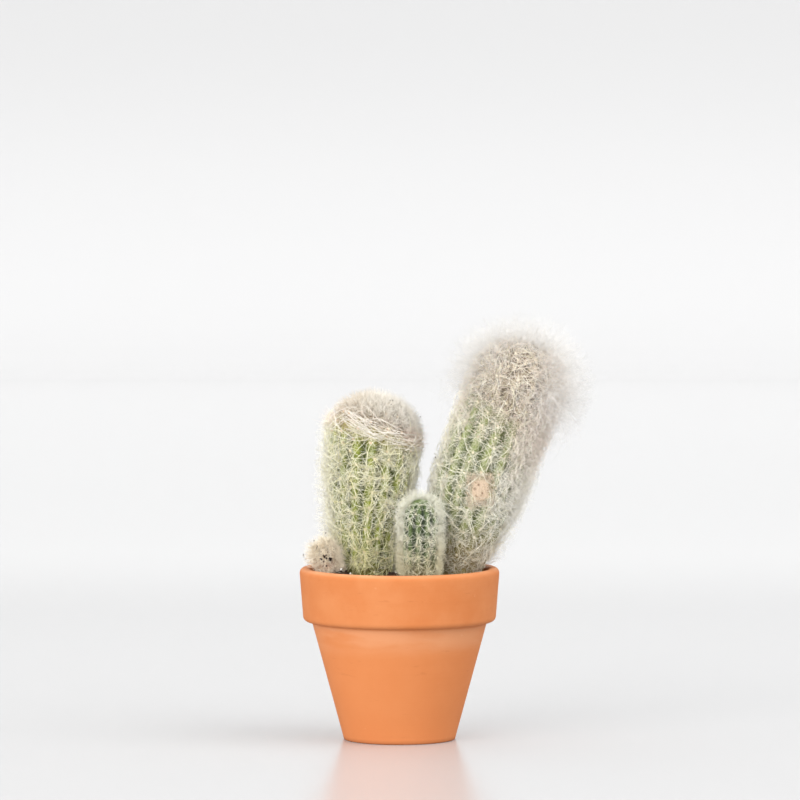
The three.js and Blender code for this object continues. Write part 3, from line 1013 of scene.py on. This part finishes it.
def growBand(random):
    # loose strands combed round the lower edge of the crown, each with a slant and a bow of its own
    stem, edge, look = stems["stem_left"], crownEdge["stem_left"], crownBand
    run = np.linspace(0, 1, look["points"])
    start = random.uniform(0, tau, look["strands"])
    fullness = smoothstep(np.cos(start - look["fullestAt"]), -0.6, 0.5)
    kept = random.random(len(start)) < look["thinnest"] + (1 - look["thinnest"]) * fullness
    start = start[kept][:, None]
    count, column = len(start), start.shape
    angle = start + random.uniform(*look["sweep"], column) * run
    offset = random.normal(look["middle"], look["scatter"], column)
    offset = offset + random.normal(0, look["slope"], column) * (run - 0.5)
    bow = random.normal(0, look["bow"], column) * np.sin(run * random.uniform(*look["waves"], column))
    z = edge["height"] + edge["rise"] * np.cos(angle - edge["highAt"]) + offset + bow
    foot, tip = stem["path"][0][2], stem["path"][3][2]
    height = random.uniform(*look["height"], column) * (0.45 + 0.55 * np.sin(math.pi * (0.1 + 0.75 * run)))
    lines = surfacePoint(stem, (z - foot) / (tip - foot), angle, height)[0]
    return lines, look["width"], 0.6 * random.random(count), np.zeros(count)


rightWool = {
    "web": {
        **webWool, "each": 86, "thinnest": 0.05, "scatter": 0.9, "patchy": 0.4, "bare": 0.6,
        "where": lambda t, angle: 1 - 0.5 * smoothstep(t, 0.68, 0.8) * (t < 0.97),
        "warm": warmTowards(0.62, 0.9, 0.3, 1),
    },
    "tufts": {
        **tuftWool, "each": 9, "thinnest": 0.1, "patchy": 0.6, "length": 5.6, "width": 0.09,
        "warm": warmTowards(0.65, 0.95, 0, 0.9),
    },
    "fans": {
        **fanWool, "points": 5, "comb": -0.4, "length": 9, "lift": (1, 2.8), "width": 0.1,
        "warm": warmTowards(0.7, 0.95, 0, 0.8),
    },
    "veil": {
        **veilWool, "each": 72, "scatter": 1.3, "length": (7.8, 9.5), "bulge": 0.36, "droop": 0.12,
        "lift": (0.6, 7),
        "where": lambda t, angle: (0.65 + 0.25 * smoothstep(t, 0.18, 0.45)) * (1 - 0.8 * facing(angle)),
        "warm": warmTowards(0.5, 0.8, 0.3, 1),
    },
    "threads": {
        **threadWool, "count": 640, "between": (0.1, 0.97), "length": 11, "lift": (1, 3), "width": 0.105,
        "warm": warmTowards(0.7, 0.95, 0, 0.8),
    },
    "fluff": {
        "count": 4400, "between": (0.4, 0.98), "angles": (-1.1, 0.9), "points": 3, "spread": 0.5,
        "spreadVary": 0.25, "length": 8.4, "vary": 0.3, "curl": 1.4, "wander": 0.15, "lift": (1.5, 6),
        "hug": 0.6, "least": 0.5, "width": 0.05,
        "warm": warmTowards(0.4, 0.7, 0.7, 1),
    },
    "crown": {
        "count": 7600, "between": (0.5, 1), "points": 3, "spread": 0.7, "spreadVary": 0.3, "patchy": 0.4,
        "length": 3.4, "vary": 0.35, "curl": 1.8, "wander": 0.2, "lift": (0.4, 1.8), "hug": 0.5, "least": 0,
        "width": 0.085,
        "where": lambda t, angle: smoothstep(t + 0.04 * np.cos(angle), 0.56, 0.74) * (1 - 0.3 * (t > 0.82)),
        "warm": lambda t, angle, random: random.uniform(0.5, 1, len(t)),
    },
    "cloud": {
        "count": 12500, "between": (0.7, 1), "points": 4, "spread": 0.45, "spreadVary": 0.25, "length": 16.5,
        "bulge": 0.1, "vary": 0.25, "curl": 2, "wander": 0.2, "lift": (4, 15.5), "hug": 0.55, "least": 0.5,
        "width": 0.02,
        "where": lambda t, angle: smoothstep(t, 0.7, 0.9) * (1 - 0.85 * facing(angle) * (t < 0.97)),
        # painted light: paler on the right, where the shade falls
        "warm": lambda t, angle, random: 0.6 * smoothstep(np.cos(angle), -0.2, 0.8),
    },
    "wisp": {
        "count": 420, "between": (0.84, 0.96), "angles": (-1.2, 0.8), "points": 6, "spread": 0.5,
        "spreadVary": 0.2, "length": 21, "vary": 0.2, "curl": 3, "wander": 0.12, "lift": (9, 17), "hug": 0.5,
        "least": 2, "width": 0.022,
        "warm": lambda t, angle, random: np.full(len(t), 0.6),
    },
}


def growScarHairs(random):
    # short peach fluff that breaks up the scar and its edge
    stem = stems["stem_right"]
    count = scar["hairs"]
    x = scar["x"] + random.uniform(-1.2, 1.2, count) * scar["halfWidth"]
    z = scar["z"] + random.uniform(-1.2, 1.2, count) * scar["halfHeight"]
    start = np.stack([x, np.full(count, -14.0), z], axis=1)
    for _ in range(axisSteps):  # walks onto the skin, straight back from the front
        start[:, 1] += heightOver(stem, start)[0]
    roots = start + np.array([0, 0.1, 0])
    ways = unit(random.normal(size=(count, 3)) * np.array([1, 0.35, 1]) + np.array([0, -0.35, 0]))
    lengths = scar["hairLength"] * random.uniform(0.5, 1.3, count)
    look = {"points": 3, "curl": 1.2, "least": 0.2}
    lines = growHairs(stem, roots, ways, lengths, np.zeros(count), look, random)
    return lines, scar["hairWidth"], random.random(count), random.random(count)


frost = {"middle": 0.69, "reach": 0.055, "share": 0.45}


def frostedFront(t, angle):
    # the small stem's front is bare at its top, with a paler band of wool across it further down
    band = frost["share"] * np.exp(-((t - frost["middle"]) / frost["reach"]) ** 2)
    return 1 - (1 - 0.3 * smoothstep(t, 0.62, 0.5) - band) * facing(angle) ** 0.6


middleWool = {
    "web": {
        **smallWool, "each": 26, "thinnest": 0.3, "scatter": 0.5, "spread": 0.85, "spreadVary": 0.15,
        "length": 3.2, "vary": 0.4, "lift": (0.1, 1), "hug": 0.75, "least": -0.2, "width": 0.06,
        "where": lambda t, angle: 1 - 0.5 * smoothstep(t, 0.68, 0.8) * facing(angle) * (t < 0.98),
        "warm": warmTowards(0.7, 0.4, 0.2, 0.9),
    },
    "stars": {
        "each": 6, "scatter": 0.2, "points": 4, "spread": 0.95, "spreadVary": 0.08, "length": 4.6,
        "vary": 0.3, "curl": 0.5, "wander": 0.05, "lift": (0.5, 1.6), "hug": 0.8, "least": 0.2,
        "width": 0.065,
    },
    "cap": {
        "count": 1500, "between": (0.86, 1), "points": 3, "spread": 0.4, "spreadVary": 0.2, "length": 7.6,
        "vary": 0.3, "curl": 1.6, "wander": 0.12, "lift": (2, 7), "hug": 0.5, "least": 0.5, "width": 0.032,
        "where": lambda t, angle: np.sin(angle) > -0.25,
    },
    "veil": {
        **smallWool, "each": 100, "scatter": 0.6, "spread": 0.45, "spreadVary": 0.22, "length": (5.6, 7.4),
        "curl": 1.6, "lift": (1.4, 5.4), "width": 0.036,
        "where": frostedFront,
        "warm": warmTowards(0.75, 0.35, 0.4, 1),
    },
}
offsetWool = {
    "web": {
        **smallWool, "each": 90, "scatter": 0.6, "spread": 0.65, "spreadVary": 0.25, "length": 3.6,
        "lift": (0.3, 2), "least": -0.2, "width": 0.05,
        "warm": lambda t, angle, random: smoothstep(t, 0.75, 0.45),
    },
    "veil": {
        **smallWool, "each": 90, "scatter": 0.8, "spread": 0.4, "spreadVary": 0.22, "length": 5.8,
        "vary": 0.25, "bulge": -0.15, "wander": 0.12, "lift": (1, 5), "hug": 0.35, "width": 0.038,
        "warm": lambda t, angle, random: smoothstep(t, 0.7, 0.4),
    },
}


def makeWool(name, layers, seed, pieces, growOwn=None):
    # pieces gives each one's name, layers and colours; growOwn grows the layer "own", which has no settings
    random = np.random.default_rng(seed)
    grown = {key: growLayer(name, look, random) for key, look in layers.items()}
    if growOwn:
        grown["own"] = growOwn(random)
    for pieceName, keys, colours in pieces:
        bundles = [grown[key] for key in keys]
        makeHair(f"{name}_{pieceName}", bundles, hairMaterials[colours], slotOf[name])


makeWool("stem_left", leftWool, 11, [
    ("web", ["web", "tufts"], "leftWool"), ("threads", ["fans", "threads"], "leftWool"),
    ("veil", ["veil"], "leftVeil"), ("crown", ["crown", "crownCurls", "bristles"], "leftCrown"),
    ("band", ["own"], "leftBand")], growBand)
makeWool("stem_right", rightWool, 23, [
    ("web", ["web", "tufts"], "rightWool"), ("threads", ["fans", "threads", "crown"], "rightWool"),
    ("veil", ["veil", "fluff"], "rightVeil"), ("cloud", ["cloud", "wisp"], "rightHaze"),
    ("scar", ["own"], "scarFluff")], growScarHairs)
makeWool("stem_middle", middleWool, 37, [("wool", middleWool, "stem_middle_wool")])
makeWool("offset_left", offsetWool, 41, [("wool", offsetWool, "offset_left_wool")])


# Areoles: small woolly pads that the hairs spring from

pads = {
    "stem_left": {
        "size": 0.75, "colour": (0.82, 0.74, 0.52), "dark": (0.68, 0.58, 0.36), "warm": (0.82, 0.62, 0.42)},
    "stem_right": {"size": 0.7, "colour": (0.82, 0.76, 0.60), "dark": (0.66, 0.56, 0.40)},
    "stem_middle": {"size": 0.5, "colour": (0.66, 0.64, 0.50), "dark": (0.40, 0.36, 0.24)},
    "offset_left": {"size": 0.5, "colour": (0.78, 0.62, 0.48), "dark": (0.55, 0.40, 0.28)},
}


padShape = {"wide": (0.75, 1.1), "flat": 0.6, "warm": (-13, -3)}  # warm where they come near the crown's edge


def makePads(name, stem, look, random):
    t, angle = stem["areoles"]
    points, normal = surfacePoint(stem, t, angle, np.full(len(t), -rootDepth))[:2]
    bm = bmesh.new()
    warmth = []
    for point, out, share, turned in zip(points, normal, t, angle):
        made = bmesh.ops.create_icosphere(bm, subdivisions=1, radius=look["size"])
        stretch = np.array([*random.uniform(*padShape["wide"], 2), padShape["flat"]])
        bmesh.ops.scale(bm, verts=made["verts"], vec=stretch)
        turnAndPlace(bm, made["verts"], out, point)
        near = float(smoothstep(overEdge(name, share, turned), *padShape["warm"])) if "warm" in look else 0
        warmth += [near] * len(made["verts"])
    movePoints(bm, placed)
    material, tree, shader = newMaterial(name + "_areoles", 0.9, 0.2)
    colour = blendPatches(tree, look["colour"], look["dark"], 500, 0.42, 0.62)
    colour = blendColours(tree, attributeOf(tree, "warmth"), colour, look.get("warm", look["colour"]))
    tree.links.new(colour, shader.inputs["Base Color"])
    piece = pieceFrom(bm, name + "_areoles", material, slotOf[name])
    giveAttribute(piece.data, "warmth", warmth)


padRandom = np.random.default_rng(5)
for name, stem in stems.items():
    makePads(name, stem, pads[name], padRandom)


# Dark crumbs of soil, and a grain of perlite, that stick in the wool

stuckCrumbs = [  # stem, share of its axis, angle in degrees, height over the skin, scatter, count, sizes
    ("offset_left", 0.76, -90, 4.0, 0.62, 15, (0.34, 0.62)),
    ("offset_left", 0.92, -110, 4.4, 0.9, 4, (0.2, 0.36)),
    ("offset_left", 0.80, -172, 3.9, 0.8, 5, (0.18, 0.34)),
    ("stem_left", 0.97, -60, 4.0, 0.7, 3, (0.16, 0.3)),
    ("stem_left", 0.90, -18, 4.5, 0.3, 1, (0.2, 0.3)),
    ("stem_left", 0.22, -100, 3.6, 0.2, 1, (0.3, 0.4)),
    ("stem_left", 0.36, -150, 5.5, 0.3, 1, (0.35, 0.45)),
    ("stem_right", 0.52, -160, 3.0, 0.2, 1, (0.25, 0.35)),
]
stuckPerlite = [("offset_left", 0.55, -48, 3.0, 0.1, 1, (0.45, 0.5))]


def makeStuck(name, rows, material, random):
    places, sizes = [], []
    for stemName, share, degrees, height, scatter, count, size in rows:
        stem = stems[stemName]
        t = share + random.normal(0, scatter, count) / stem["length"]
        angle = math.radians(degrees) + random.normal(0, scatter, count) / stem["fullRadius"]
        places += list(surfacePoint(stem, t, angle, np.full(count, height))[0])
        sizes += list(random.uniform(*size, count))
    makeCrumbs(name, places, sizes, material, random)


makeStuck("stuck_crumbs", stuckCrumbs, crumbMaterial, np.random.default_rng(13))
makeStuck("stuck_perlite", stuckPerlite, perliteMaterial, np.random.default_rng(14))


# Room: a white table that curves up into a white wall, soft lights, and the camera. Its sizes are in metres,
# but for the point in mm that the camera looks at

white = (1, 1, 1)
room = {
    "front": (0.455, 0.455, 0.458),
    # painted light: the table grows paler towards the back and darker up the wall, to even out how the lamps
    # light it
    "paintedLightGrades": [  # axis, where the colour starts and where it is full
        ("Y", -0.3, 0.45, (0.505, 0.505, 0.508)), ("Y", 0.5, 0.9, (0.62, 0.62, 0.623)),
        ("Y", 0.8, 2.5, (0.805, 0.805, 0.808)), ("Z", -0.04, 0.3, (0.65, 0.65, 0.653))],
    "halfWidth": 6, "nearEdge": -4, "bend": 2.4, "bendRadius": 0.5, "bendSteps": 16, "wallHeight": 4,
    "camera": 2.6, "lens": 292.5, "climb": 3.6, "lookAt": 136.2, "aside": 0.2,
    "world": 1.18, "lightsAim": (0, 0, 0.09),
    "lights": [  # name, place, size, power and colour
        ("key", (-1.0, -1.5, 0.6), 1.6, 37, (1, 0.99, 0.97)),
        ("fill", (1.25, -0.6, 1.6), 1.6, 25, white), ("back", (-0.4, 1.0, 1.5), 1.2, 4, white)],
}


def tableMaterial():
    material, tree, shader = newMaterial("table", 0.22, 0.35)
    # painted light: grades of colour that even out the lamps' fall-off
    colour = room["front"]
    for axis, low, high, shade in room["paintedLightGrades"]:
        colour = blendColours(tree, rangeOf(tree, axisOf(tree, axis), low, high), colour, shade)
    tree.links.new(colour, shader.inputs["Base Color"])
    return material


def makeRoom():
    bm = bmesh.new()
    bend, turn = room["bend"], room["bendRadius"]
    outline = [(room["nearEdge"], 0), (bend, 0)]
    for angle in np.linspace(0.1, tau / 4, room["bendSteps"]):
        outline.append((bend + turn * math.sin(angle), turn - turn * math.cos(angle)))
    outline.append((bend + turn, room["wallHeight"]))
    verts = [bm.verts.new((-room["halfWidth"], y, z)) for y, z in outline]
    edges = [bm.edges.new(pair) for pair in zip(verts, verts[1:])]
    made = bmesh.ops.extrude_edge_only(bm, edges=edges)["geom"]
    farVerts = [part for part in made if isinstance(part, bmesh.types.BMVert)]
    bmesh.ops.translate(bm, verts=farVerts, vec=(2 * room["halfWidth"], 0, 0))
    bmesh.ops.recalc_face_normals(bm, faces=bm.faces)
    table = objectFrom(bm, "table", tableMaterial())


def addLight(name, place, size, power, colour):
    light = bpy.data.lights.new(name, "AREA")
    light.shape = "SQUARE"
    light.size = size
    light.energy = power
    light.color = colour
    lamp = bpy.data.objects.new(name, light)
    lamp.location = place
    way = Vector(room["lightsAim"]) - Vector(place)
    lamp.rotation_euler = way.to_track_quat("-Z", "Y").to_euler()
    bpy.context.scene.collection.objects.link(lamp)


def makeCamera():
    camera = bpy.data.cameras.new("camera")
    camera.lens = room["lens"]
    camera.sensor_width = 36
    camera.clip_end = 20
    viewer = bpy.data.objects.new("camera", camera)
    climb = math.radians(room["climb"])
    target = Vector((potAxis[0] + room["aside"] * mm, 0, room["lookAt"] * mm))
    viewer.location = target + Vector((0, -math.cos(climb), math.sin(climb))) * room["camera"]
    viewer.rotation_euler = (tau / 4 - climb, 0, 0)
    bpy.context.scene.collection.objects.link(viewer)
    bpy.context.scene.camera = viewer


def makeWorld():
    world = bpy.data.worlds.new("studio")
    world.use_nodes = True
    tree = world.node_tree
    background = tree.nodes["Background"]
    background.inputs["Color"].default_value = (1, 1, 1, 1)
    background.inputs["Strength"].default_value = room["world"]
    bpy.context.scene.world = world


makeRoom()
for light in room["lights"]:
    addLight(*light)
makeCamera()
makeWorld()
bpy.context.scene.view_settings.view_transform = "Standard"
bpy.context.scene.view_settings.look = "None"
print("room, lights and camera are in place")
